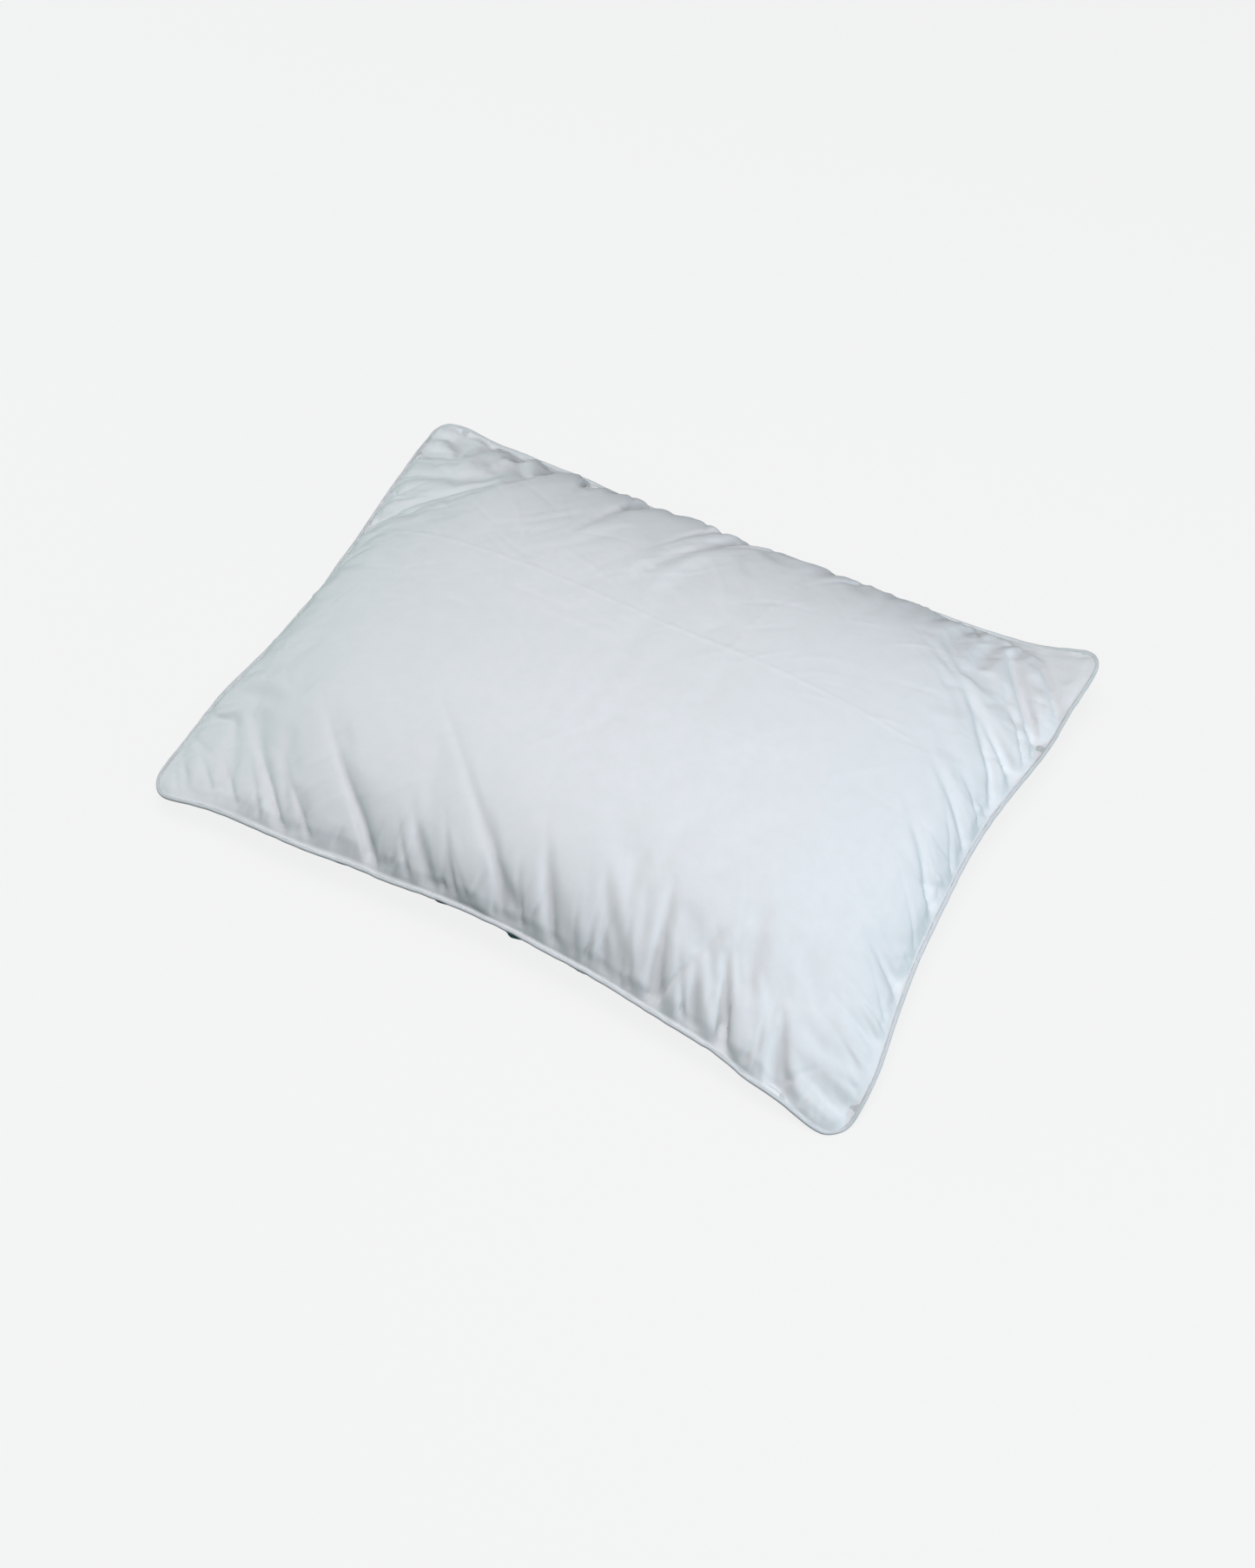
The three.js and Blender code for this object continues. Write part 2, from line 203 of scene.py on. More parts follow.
def fold(cloth, side, place, depth, half_width, reach, lean):
    """A valley in a piece of cloth that runs in from one side of the panel and fades out."""
    kind, sign = SIDES[side]
    along, away = (cloth.x, cloth.from_side) if kind == "long" else (cloth.y, cloth.from_end)
    across = cloth.y if kind == "long" else cloth.x
    valley = np.exp(-(((along - place - lean * away) / half_width) ** 2) - (away / reach) ** 2)
    return np.where(np.sign(across) == sign, -depth * valley, 0)


def gathers(seed, count):
    """Many small valleys along every side, where the sewing gathers the cloth. The count is per metre."""
    rng = np.random.default_rng(seed)
    height = np.zeros(PANEL.shape)
    for side, (kind, _) in SIDES.items():
        span = SEWN_LENGTH if kind == "long" else SEWN_WIDTH
        for _ in range(round(count * span)):
            place = rng.uniform(-0.46, 0.46) * span
            depth = rng.uniform(0.3, 1)
            half_width = rng.uniform(0.004, 0.010)
            reach = rng.uniform(0.02, 0.055)
            lean = rng.normal(FRONT_LEAN if side == "front" else 0, 0.25)
            height += fold(PANEL, side, place, depth, half_width, reach, lean)
    return height


def crown():
    """How full the pillow is over each place of the panel, from 0 at the seam to 1 in the middle."""
    flatness, fullness = 2.3, 0.62
    share = (1 - np.abs(PANEL.u) ** flatness) * (1 - np.abs(PANEL.v) ** flatness)
    return np.clip(share, 0, 1) ** fullness


def corner_moves():
    """How far the cloth round each corner starts from the frame's corner, along X, Y and Z."""
    sides = {"left": 1 - PANEL.u, "right": 1 + PANEL.u, "front": 1 - PANEL.v, "back": 1 + PANEL.v}
    near = {side: (share / 2) ** 4 for side, share in sides.items()}
    moves = [
        np.multiply.outer(move, near[one] * near[other]) for (one, other), move in CORNER_MOVES.items()
    ]
    return sum(moves)


def start_shape():
    """The two panels as smooth domes with shallow folds, and the seam where the filling draws it."""
    x = PANEL.cut_x * (1 - SHORT_PULL / (SEWN_LENGTH / 2) * (1 - PANEL.v ** 2))
    pull = np.where(PANEL.v > 0, LONG_PULL + BACK_TUCK, LONG_PULL)
    y = PANEL.cut_y * (1 - pull / (SEWN_WIDTH / 2) * (1 - PANEL.u ** 2))
    near_tuck = np.exp(-(((PANEL.u - TUCK_PLACE) / TUCK_WIDTH) ** 2))
    y += FRONT_LEFT_TUCK * near_tuck * np.clip(-PANEL.v, 0, 1) ** 2
    move_x, move_y, lift = corner_moves()
    x += move_x
    y += move_y
    middle = CORNER_SEAM + (SIDE_SEAM - CORNER_SEAM) * (1 - (PANEL.u * PANEL.v) ** 2) + lift
    rise, full = LOFT - SIDE_SEAM, crown() * (1 - BACK_SLACK * PANEL.v)
    fold_depth = 0.0040
    named = sum(fold(PANEL, *entry) for entry in FOLDS)
    top = middle + rise * full + fold_depth * (gathers(5, count=55) + named)
    off_ground = 0.001
    bottom = middle - BOTTOM_SHARE * rise * full + fold_depth * gathers(6, count=40)
    bottom = np.maximum(off_ground, bottom)
    seam = on_border()
    top[seam] = middle[seam]
    bottom[seam] = middle[seam]
    return np.stack([x, y, top], -1), np.stack([x, y, bottom], -1)


# ---------------------------------------------------------------- cloth simulation

FRAMES = 16


def shell_indices():
    """Vertex numbers of the top and the bottom panel in one mesh, which share those of the seam."""
    count = PANEL.x.size
    top = np.arange(count).reshape(PANEL.shape)
    bottom = top.copy()
    inner = ~on_border()
    bottom[inner] = count + np.arange(inner.sum())
    return top, bottom, inner


def grid_quads(index, flipped=False):
    """The quads of a grid of vertex numbers."""
    quads = np.stack([index[:-1, :-1], index[1:, :-1], index[1:, 1:], index[:-1, 1:]], -1)
    quads = quads.reshape(-1, 4)
    return quads[:, ::-1] if flipped else quads


def cloth_object(top, bottom):
    """One closed mesh of both panels, with the flat cut as its rest shape."""
    top_index, bottom_index, inner = shell_indices()
    places = np.concatenate([top.reshape(-1, 3), bottom[inner]])
    half_gap = 1e-4  # between the flat panels
    level = np.full(PANEL.shape, half_gap)
    flat = np.stack([PANEL.cut_x, PANEL.cut_y, level], -1)
    flat = np.concatenate([flat.reshape(-1, 3), flat[inner] * [1, 1, -1]])
    quads = np.concatenate([grid_quads(top_index), grid_quads(bottom_index, flipped=True)])
    mesh = bpy.data.meshes.new("cloth")
    mesh.from_pydata(places.tolist(), [], quads.tolist())
    cloth = bpy.data.objects.new("cloth", mesh)
    bpy.context.scene.collection.objects.link(cloth)
    cloth.shape_key_add(name="start")
    rest = cloth.shape_key_add(name="flat cut")
    rest.data.foreach_set("co", flat.astype(np.float32).ravel())
    add_weights(cloth, top_index, bottom_index)
    return cloth, rest


def add_weights(cloth, top_index, bottom_index):
    """The cloth is stiff along the corded seam, and the filling pushes less in the corners."""
    from_seam = seam_distance(PANEL)
    stiff = np.clip(1 - from_seam / (3 * STEP), 0, 1)
    corner_gap = np.hypot(PANEL.from_end, PANEL.from_side)
    start, run, least = 0.006, 0.026, 0.5
    filled = np.clip((corner_gap - start) / run, least, 1)
    for name, weight in {"stiff": stiff, "filled": filled}.items():
        group = cloth.vertex_groups.new(name=name)
        for index in (top_index, bottom_index):
            for level in np.unique(weight.round(2)):
                members = index[weight.round(2) == level]
                group.add(members.tolist(), float(level), "REPLACE")


def cloth_settings(cloth, rest):
    """Thin cotton that the filling presses outwards. The stiff group also shrinks a little."""
    modifier = cloth.modifiers.new("Cloth", "CLOTH")
    settings = modifier.settings
    settings.quality = 6
    settings.mass = 0.3
    settings.tension_stiffness = 30
    settings.compression_stiffness = 30
    settings.shear_stiffness = 5
    settings.bending_stiffness = 0.002
    settings.vertex_group_bending = "stiff"
    settings.bending_stiffness_max = 0.5
    settings.vertex_group_shrink = "stiff"
    settings.shrink_min = 0
    settings.shrink_max = 0.014
    settings.tension_damping = 5
    settings.compression_damping = 5
    settings.shear_damping = 5
    settings.bending_damping = 0.5
    settings.air_damping = 1
    settings.use_pressure = True
    settings.uniform_pressure_force = 1.2
    settings.vertex_group_pressure = "filled"
    settings.effector_weights.gravity = 0.003
    settings.rest_shape_key = rest
    modifier.collision_settings.use_self_collision = False
    modifier.collision_settings.distance_min = 0.001
    modifier.point_cache.frame_start = 1
    modifier.point_cache.frame_end = FRAMES


def ground_plane():
    """What the pillow lies on while it is filled."""
    mesh = bpy.data.meshes.new("ground")
    reach = 1.5
    corners = [(-reach, -reach, 0), (reach, -reach, 0), (reach, reach, 0), (-reach, reach, 0)]
    mesh.from_pydata(corners, [], [(0, 1, 2, 3)])
    ground = bpy.data.objects.new("ground", mesh)
    bpy.context.scene.collection.objects.link(ground)
    ground.modifiers.new("Collision", "COLLISION")
    ground.collision.thickness_outer = 0.001
    ground.collision.cloth_friction = 20
    return ground


def simulated(top, bottom):
    """The two panels after the filling has pushed them out."""
    cloth, rest = cloth_object(top, bottom)
    ground = ground_plane()
    cloth_settings(cloth, rest)
    for number in range(1, FRAMES + 1):
        bpy.context.scene.frame_set(number)
    settled = cloth.evaluated_get(bpy.context.evaluated_depsgraph_get()).data
    places = np.zeros(len(settled.vertices) * 3, np.float32)
    settled.vertices.foreach_get("co", places)
    places = places.reshape(-1, 3).astype(float)
    bpy.data.objects.remove(cloth)
    bpy.data.objects.remove(ground)
    bpy.context.scene.frame_set(1)
    top_index, bottom_index, _ = shell_indices()
    return places[top_index], places[bottom_index]


def filled_shell():
    """The panels' places, stood on the ground and given the loft of the frame."""
    top, bottom = start_shape()
    top, bottom = simulated(top, bottom)
    low = bottom[..., 2].min()
    high_corner = np.array(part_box("shell_top_panel")[1])
    reach = np.abs(top.reshape(-1, 3)).max(0)
    scale = high_corner / [reach[0], reach[1], top[..., 2].max() - low]
    return kept_apart(*even_seam((top - [0, 0, low]) * scale, (bottom - [0, 0, low]) * scale))


def even_seam(top, bottom):
    """The cord keeps the seam and the cloth beside it from following every small fold."""
    for row, reach in enumerate((4, 2, 1)):
        place = ring(row)
        for panel in (top, bottom):
            panel[place] = smoothed_round(panel[place], reach)
    return top, tucked_under(bottom, bottom[ring(0)])


def tucked_under(bottom, seam):
    """The bottom panel's first rows, kept from bulging out beyond the seam."""
    spacing = 0.0012
    flat = np.stack([PANEL.cut_x, PANEL.cut_y], -1)
    outward = unit(flat[ring(0)] - flat[ring(3)])
    for row in (1, 2, 3):
        place = ring(row)
        beyond = ((bottom[place] - seam)[:, :2] * outward).sum(-1) + spacing * row
        bottom[(*place, slice(0, 2))] -= outward * np.clip(beyond, 0, None)[:, None]
    return bottom


def kept_apart(top, bottom):
    """Leaves room between the panels from a short run behind the seam, and under the piping."""
    room, rise, run = 0.0065, 0.0034, 0.012
    from_seam = seam_distance(PANEL)
    wanted = room * np.clip(from_seam / run, 0, 1)
    missing = np.clip(wanted - (top[..., 2] - bottom[..., 2]), 0, None)
    bottom[..., 2] = np.maximum(bottom[..., 2] - missing / 2, 0)
    top[..., 2] = np.maximum(top[..., 2], bottom[..., 2] + wanted)
    top[..., 2] = np.maximum(top[..., 2], rise + wanted / 2)
    seam = on_border()
    bottom[seam] = top[seam]
    return top, bottom


TOP, BOTTOM = filled_shell()


# ---------------------------------------------------------------- meshes


def mesh_object(name, places, faces):
    """A smooth-shaded object from places and faces."""
    mesh = bpy.data.meshes.new(name)
    places = np.asarray(places).reshape(-1, 3).tolist()
    mesh.from_pydata(places, [], [list(map(int, face)) for face in faces])
    mesh.shade_smooth()
    piece = bpy.data.objects.new(name, mesh)
    bpy.context.scene.collection.objects.link(piece)
    return piece


def subdivided(piece):
    """Smooths the piece by one subdivision, kept in its mesh."""
    modifier = piece.modifiers.new("Subdivision", "SUBSURF")
    modifier.levels = 1
    graph = bpy.context.evaluated_depsgraph_get()
    mesh = bpy.data.meshes.new_from_object(piece.evaluated_get(graph))
    piece.modifiers.clear()
    piece.data = mesh
    mesh.name = piece.name
    return piece


def read_vectors(data, name):
    """A vector property of all the elements of a mesh, one to a row."""
    values = np.zeros(len(data) * 3, np.float32)
    data.foreach_get(name, values)
    return values.reshape(-1, 3).astype(float)


def ring_quads(outer, inner):
    """Quads between two closed rings of vertex numbers."""
    return np.stack([outer, inner, np.roll(inner, -1), np.roll(outer, -1)], -1)


def swept(name, centre, side, up, section, closed=True):
    """A closed section carried along a closed line, or along an open one that gets two caps.

    The section lists distances to the side and upwards.
    """
    section = np.asarray(section, float)
    across = section[:, 0, None, None] * side + section[:, 1, None, None] * up
    places = centre + across
    sides, count = places.shape[:2]
    number = np.arange(sides * count).reshape(sides, count)
    strips = [ring_quads(number[i], number[(i + 1) % sides]) for i in range(sides)]
    if closed:
        return mesh_object(name, places, np.concatenate(strips))
    open_strips = [strip[:-1] for strip in strips]
    caps = [number[::-1, 0], number[:, -1]]
    return mesh_object(name, places, [*np.concatenate(open_strips), *caps])


def circle(radius, sides):
    """A round section."""
    turn = np.arange(sides) * 2 * math.pi / sides
    return np.stack([radius * np.cos(turn), radius * np.sin(turn)], -1)


# ---------------------------------------------------------------- the seam


def seam_frame():
    """Round the seam: its line, and the directions outwards and upwards there.

    What is sewn into the seam points inwards to a place below the middle, clear of the top's creases.
    """
    line = TOP[ring(0)]
    inside = 0.35 * TOP[ring(3)] + 0.65 * BOTTOM[ring(3)]
    return framed(line, smoothed_round(unit(line - inside), 3))


def framed(line, outward):
    """A closed line with directions square to it."""
    along = unit(np.roll(line, -1, axis=0) - np.roll(line, 1, axis=0))
    outward = unit(outward - along * (outward * along).sum(-1, keepdims=True))
    steps = np.linalg.norm(np.roll(line, -1, axis=0) - line, axis=1)
    distance = np.concatenate([[0], np.cumsum(steps)])
    up = np.cross(outward, along)
    return SimpleNamespace(line=line, outward=outward, up=up, along=along, distance=distance)


def seam_at(distance):
    """The seam's frame at distances along it."""
    length = SEAM.distance[-1]
    wrapped = np.asarray(distance) % length

    def interpolated(values):
        """The values at those distances, round the closed loop."""
        around = np.vstack([values, values[:1]])
        return np.stack([np.interp(wrapped, SEAM.distance, around[:, k]) for k in range(3)], -1)

    return SimpleNamespace(
        line=interpolated(SEAM.line), outward=unit(interpolated(SEAM.outward)),
        up=unit(interpolated(SEAM.up)), along=unit(interpolated(SEAM.along)),
    )


def even_steps(spacing):
    """Distances round the whole seam, about one spacing apart."""
    length = SEAM.distance[-1]
    return np.linspace(0, length, round(length / spacing), endpoint=False)


SEAM = seam_frame()


# ---------------------------------------------------------------- fine relief of the cloth

# The sharp creases that run into the seam. Each entry is laid out like those of the folds, and its
# depth is a multiple of crease_depth.
CREASES = [
    ("front", -0.285, 1.8, 0.0026, 0.030, -0.90),
    ("front", -0.262, 1.6, 0.0024, 0.036, -1.00),
    ("front", -0.238, 1.5, 0.0026, 0.032, -1.10),
    ("front", -0.215, 1.2, 0.0024, 0.026, -0.90),
    ("front", -0.190, 1.6, 0.0026, 0.044, -1.20),
    ("front", -0.165, 1.3, 0.0024, 0.030, -1.10),
    ("front", -0.110, 1.6, 0.0026, 0.040, -1.00),
    ("front", -0.072, 1.2, 0.0022, 0.026, -0.70),
    ("front", -0.030, 1.5, 0.0026, 0.036, -0.60),
    ("front", 0.004, 1.0, 0.0022, 0.022, -0.30),
    ("front", 0.030, 1.2, 0.0024, 0.030, -0.40),
    ("front", 0.078, 1.1, 0.0022, 0.026, -0.25),
    ("front", 0.118, 1.3, 0.0024, 0.030, -0.10),
    ("front", 0.148, 2.0, 0.0030, 0.045, 0.55),
    ("front", 0.176, 1.2, 0.0024, 0.022, -0.30),
    ("front", 0.206, 1.8, 0.0026, 0.024, 0.15),
    ("front", 0.232, 1.6, 0.0026, 0.020, 0.50),
    ("front", 0.262, 1.3, 0.0024, 0.024, 0.90),
    ("right", -0.205, 1.2, 0.0024, 0.024, 0.30),
    ("right", -0.160, 1.4, 0.0024, 0.022, 0.80),
    ("right", -0.095, 1.0, 0.0024, 0.030, 0.90),
    ("right", -0.020, 1.3, 0.0026, 0.030, 1.10),
    ("right", 0.036, 1.2, 0.0024, 0.028, 0.60),
    ("right", 0.110, 2.4, 0.0030, 0.034, 1.20),
    ("right", 0.148, 1.8, 0.0026, 0.026, 1.60),
    ("right", 0.192, 1.5, 0.0024, 0.022, 1.80),
    ("right", 0.212, 1.2, 0.0022, 0.018, 1.40),
    ("back", -0.232, 2.2, 0.0032, 0.044, -0.30),
    ("back", -0.198, 1.8, 0.0028, 0.040, 0.20),
    ("back", -0.156, 2.4, 0.0034, 0.050, 0.10),
    ("back", -0.120, 1.2, 0.0026, 0.036, 0.50),
    ("back", -0.089, 2.6, 0.0034, 0.060, -0.20),
    ("back", -0.040, 1.3, 0.0028, 0.050, 0.30),
    ("back", 0.000, 2.4, 0.0034, 0.075, -0.40),
    ("back", 0.030, 1.4, 0.0026, 0.060, -0.60),
    ("back", 0.058, 1.6, 0.0028, 0.080, -0.75),
    ("back", 0.130, 1.2, 0.0028, 0.050, -0.50),
    ("back", 0.215, 1.4, 0.0026, 0.030, 0.40),
    ("back", 0.240, 1.8, 0.0100, 0.022, 3.50),
    ("left", 0.120, 1.2, 0.0026, 0.030, 0.70),
    ("left", 0.070, 1.5, 0.0028, 0.036, 0.60),
    ("left", 0.030, 1.4, 0.0026, 0.030, 0.50),
    ("left", -0.100, 1.0, 0.0026, 0.030, -0.20),
    ("left", -0.190, 1.4, 0.0026, 0.030, -0.60),
    ("left", -0.215, 1.4, 0.0026, 0.024, -1.20),
]

# Lines that the cloth kept from being folded in its pack, as start, end and height on the flat panel.
PRESS_LINES = [
    ((-0.29, 0.062), (0.02, 0.048), 0.0006),
    ((0.02, 0.048), (0.24, 0.052), 0.0007),
    ((0.085, 0.215), (0.075, 0.050), 0.0005),
    ((0.075, 0.050), (0.060, -0.080), 0.0004),
    ((0.145, 0.190), (0.150, 0.085), 0.0004),
]


def cloth_sample(x, y):
    """Places on the flat panel with their distances to the sides, as the panel's grid has them."""
    return SimpleNamespace(
        x=x, y=y, from_end=SEWN_LENGTH / 2 - np.abs(x), from_side=SEWN_WIDTH / 2 - np.abs(y), shape=x.shape,
    )


def line_height(cloth, start, end, height):
    """A thin ridge along a straight line on the cloth."""
    half_width = 0.0016
    start, end = np.array(start), np.array(end)
    run = end - start
    offset = np.stack([cloth.x, cloth.y], -1) - start
    share = np.clip(offset @ run / (run @ run), 0, 1)
    away = np.linalg.norm(offset - share[:, None] * run, axis=1)
    uneven = 0.75 + 0.25 * np.sin(90 * share + 3 * start[0])
    return height * uneven * np.exp(-((away / half_width) ** 2))


def fine_gathers(cloth, rng, count):
    """Sharp little valleys between the broad ones, running in from the seam. The count is per metre."""
    height = np.zeros(cloth.shape)
    for side, (kind, _) in SIDES.items():
        span = SEWN_LENGTH if kind == "long" else SEWN_WIDTH
        for _ in range(round(count * span)):
            place = rng.uniform(-0.47, 0.47) * span
            depth = rng.uniform(0.2, 1) ** 2
            half_width = rng.uniform(0.0014, 0.0035)
            reach = rng.uniform(0.008, 0.040)
            lean = rng.normal(0, 0.35)
            height += fold(cloth, side, place, depth, half_width, reach, lean)
    return height


def stray_wrinkles(cloth, rng, count):
    """Faint short wrinkles all over, which mostly run towards the nearest side."""
    height = np.zeros(cloth.shape)
    for _ in range(count):
        x = rng.uniform(-0.9, 0.9) * SEWN_LENGTH / 2
        y = rng.uniform(-0.9, 0.9) * SEWN_WIDTH / 2
        turn = math.atan2(y, 0.6 * x) + rng.normal(0, 0.5)
        length, half_width = rng.uniform(0.008, 0.035), rng.uniform(0.0015, 0.004)
        along = (cloth.x - x) * math.cos(turn) + (cloth.y - y) * math.sin(turn)
        bend = rng.uniform(-8, 8)
        across = -(cloth.x - x) * math.sin(turn) + (cloth.y - y) * math.cos(turn) - bend * along ** 2
        size = rng.uniform(-1, 1)
        height += size * np.exp(-((across / half_width) ** 2) - (along / length) ** 2)
    return height


def allowance_ridge(cloth):
    """The step that the turned-in allowance shows through the panel."""
    half_width = 0.0018
    from_seam = seam_distance(cloth)
    along = cloth.x + cloth.y
    uneven = 0.6 + 0.4 * np.sin(47 * along) * np.sin(113 * along + 1)
    return uneven * np.exp(-(((from_seam - ALLOWANCE) / half_width) ** 2))


def relief(cloth, side):
    """How far each place of a panel stands out from the simulated cloth."""
    crease_depth, wrinkle_height, ridge_height = 0.0019, 0.00045, 0.0005
    rng = np.random.default_rng(21 if side > 0 else 22)
    height = crease_depth * fine_gathers(cloth, rng, count=190)
    height += wrinkle_height * stray_wrinkles(cloth, rng, count=300)
    height += ridge_height * allowance_ridge(cloth)
    if side > 0:
        height += crease_depth * sum(fold(cloth, *entry) for entry in FOLDS + CREASES)
        height += sum(line_height(cloth, *entry) for entry in PRESS_LINES)
    return height


# ---------------------------------------------------------------- shell


def shell_panel(name, places, side):
    """One panel with its allowance turned inwards. The side is 1 for the top and -1 for the bottom.

    The third value of a flat place is above 0 on the turned-in allowance only.
    """
    index = np.arange(PANEL.x.size).reshape(PANEL.shape)
    walk = ring(0)
    lifted = places.copy()
    lifted[walk] += SEAM.up * side * SEAM_HALF
    flat = np.stack([PANEL.x, PANEL.y, 0 * PANEL.x], -1)
    rings, points, flats = [index[walk]], [lifted.reshape(-1, 3)], [flat.reshape(-1, 3)]
    for inset in (0.25, 0.6, 1):
        rings.append(index.size + (len(rings) - 1) * len(SEAM.line) + np.arange(len(SEAM.line)))
        points.append(SEAM.line - SEAM.outward * ALLOWANCE * inset + SEAM.up * side * SEAM_HALF)
        flats.append(flat[walk] * (1 + 2 * ALLOWANCE * inset / SEWN_LENGTH) + [0, 0, inset])
    turned = [ring_quads(outer, inner) for outer, inner in zip(rings, rings[1:])]
    quads = np.concatenate([grid_quads(index), *[quad[:, ::-1] for quad in turned]])
    quads = quads if side > 0 else quads[:, ::-1]
    piece = mesh_object(name, np.concatenate(points), quads)
    keep_cloth_place(piece.data, np.concatenate(flats))
    subdivided(piece)
    return with_relief(piece, side)


def keep_cloth_place(mesh, flat):
    """Stores where each point lies on the flat cloth, for the relief and for the weave."""
    place = mesh.attributes.new("cloth_place", "FLOAT_VECTOR", "POINT")
    place.data.foreach_set("vector", flat.astype(np.float32).ravel())


def shell_room(flat):
    """How far apart the two panels are at places on the flat cloth."""
    rows, columns = PANEL.shape
    i = np.interp(flat[:, 0], PANEL.x[:, 0], np.arange(rows)).round().astype(int)
    j = np.interp(flat[:, 1], PANEL.y[0], np.arange(columns)).round().astype(int)
    return np.linalg.norm(TOP[i, j] - BOTTOM[i, j], axis=-1)


def with_relief(piece, side):
    """Moves the panel's points by its relief, less at the seam and where the pillow is thin."""
    mesh = piece.data
    flat = read_vectors(mesh.attributes["cloth_place"].data, "vector")
    places = read_vectors(mesh.vertices, "co")
    normals = read_vectors(mesh.vertex_normals, "vector")
    cloth = cloth_sample(flat[:, 0], flat[:, 1])
    from_seam = seam_distance(cloth)
    start, run, thinnest, share = 0.001, 0.004, 0.004, 0.22
    on_panel = flat[:, 2] < 0.01
    free = np.clip((from_seam - start) / run, 0, 1) * on_panel
    deepest = share * np.clip(shell_room(flat) - thinnest, 0, None)
    height = np.maximum(relief(cloth, side), -deepest)
    places += normals * (free * height)[:, None]
    places[:, 2] = np.maximum(places[:, 2], 0)
    mesh.vertices.foreach_set("co", places.astype(np.float32).ravel())
    mesh.update()
    add_cloth_map(mesh, flat)
    return piece


def add_cloth_map(mesh, flat):
    """A UV map that lays the panel out as the flat cloth."""
    corners = np.zeros(len(mesh.loops), np.int32)
    mesh.loops.foreach_get("vertex_index", corners)
    map_size = np.array([SEWN_LENGTH, SEWN_WIDTH]) + 4 * ALLOWANCE
    cloth_map = flat[corners, :2] / map_size + 0.5
    mesh.uv_layers.new(name="OFBake").uv.foreach_set("vector", cloth_map.astype(np.float32).ravel())


# ---------------------------------------------------------------- piping


def arc(radius, opening, turns):
    """Points round a circle that is open on its inner side. The turns run from -1 to 1."""
    angle = math.pi - math.asin(opening / radius)
    return [(radius * math.cos(turn * angle), radius * math.sin(turn * angle)) for turn in turns]


def piping_section():
    """The bias strip cut across: round the cord, with both its edges running back into the seam."""
    mouth = 0.00012
    turns = np.linspace(-1, 1, 19)
    outer_arc = arc(PIPING_RADIUS, mouth + COVER_CLOTH, turns)
    inner_arc = arc(PIPING_RADIUS - COVER_CLOTH, mouth, -turns[::2])
    edge = -PIPING_OUT - ALLOWANCE
    lower = [(edge, -mouth), (edge, -mouth - COVER_CLOTH)]
    upper = [(edge, mouth + COVER_CLOTH), (edge, mouth)]
    return [*lower, *outer_arc, *upper, *inner_arc]


def piping_cover():
    """The bias strip that covers the cord all the way round."""
    steps = even_steps(0.0022)
    seam = seam_at(steps)
    centre = piping_line(steps)
    piece = swept("piping_cover", centre, seam.outward, seam.up, piping_section())
    return dressed(piece, "piping_cloth", "piping_cover")


def piping_line(distance):
    """The middle of the piping, which sways a little where the panels pull at it."""
    seam = seam_at(distance)
    height, short_wave, long_wave = 0.00025, 0.019, 0.137
    sway = height * np.sin(distance * 2 * math.pi / short_wave) * np.sin(distance * 2 * math.pi / long_wave)
    return seam.line + seam.outward * PIPING_OUT + seam.up * sway[:, None]


def piping_cord():
    """Three strands of cotton twisted round each other."""
    strand_radius = CORD_RADIUS * 0.46
    twist_radius = CORD_RADIUS - strand_radius
    twist_length = 0.009
    turns_round = round(SEAM.distance[-1] / twist_length)
    steps = even_steps(0.0013)
    seam = seam_at(steps)
    centre = piping_line(steps)
    strands = []
    for strand in range(3):
        turn = steps / SEAM.distance[-1] * 2 * math.pi * turns_round + strand * 2 * math.pi / 3
        shift = twist_radius * (np.cos(turn)[:, None] * seam.outward + np.sin(turn)[:, None] * seam.up)
        strands.append(swept("strand", centre + shift, seam.outward, seam.up, circle(strand_radius, 6)))
    return dressed(joined("piping_cord", strands), "cord", "piping_cord")


def joined(name, pieces):
    """One object from several."""
    places, faces = [], []
    for piece in pieces:
        faces += [[len(places) + corner for corner in face.vertices] for face in piece.data.polygons]
        places += [tuple(vertex.co) for vertex in piece.data.vertices]
        bpy.data.objects.remove(piece)
    return mesh_object(name, places, faces)


# ---------------------------------------------------------------- casing and filling

CLEAR = 0.007  # between the shell and what is inside it, so that no crease reaches through


def clearance(room):
    """The share of the pillow's thickness to keep clear next to each panel."""
    largest_share = 0.42
    return np.minimum(CLEAR / room, largest_share)


def eased(values):
    """Values from 0 to 1 with a soft start and end."""
    values = np.clip(values, 0, 1)
    return values * values * (3 - 2 * values)


def casing_sheet(name, share, side):
    """One of the two sheets round the core. At its edge it lies on the allowances in the seam."""
    inner = (slice(1, -1, 2), slice(1, -1, 2))
    thickness = (TOP - BOTTOM)[inner]
    middle = BOTTOM[inner] + thickness / 2
    from_seam = seam_distance(PANEL)[inner]
    run, off_middle, most = 0.05, 0.0008, 0.15
    free = eased((from_seam - ALLOWANCE) / run)[..., None]
    room = np.linalg.norm(thickness, axis=-1, keepdims=True)
    in_seam = side * np.minimum(off_middle / room, most)
    spread = (share - 0.5) * (1 - 2 * clearance(room))
    places = middle + thickness * (in_seam * (1 - free) + spread * free)
    index = np.arange(from_seam.size).reshape(from_seam.shape)
    piece = mesh_object(name, places, grid_quads(index))
    return dressed(piece, "casing_cloth", name)


def lumps(x, y, seed):
    """Soft uneven waves between -1 and 1."""
    rng = np.random.default_rng(seed)
    count = 6
    total = np.zeros(x.shape)
    for _ in range(count):
        along_x = np.sin(x * rng.uniform(60, 260) + rng.uniform(0, 6))
        total += along_x * np.sin(y * rng.uniform(60, 260) + rng.uniform(0, 6))
    return total / count


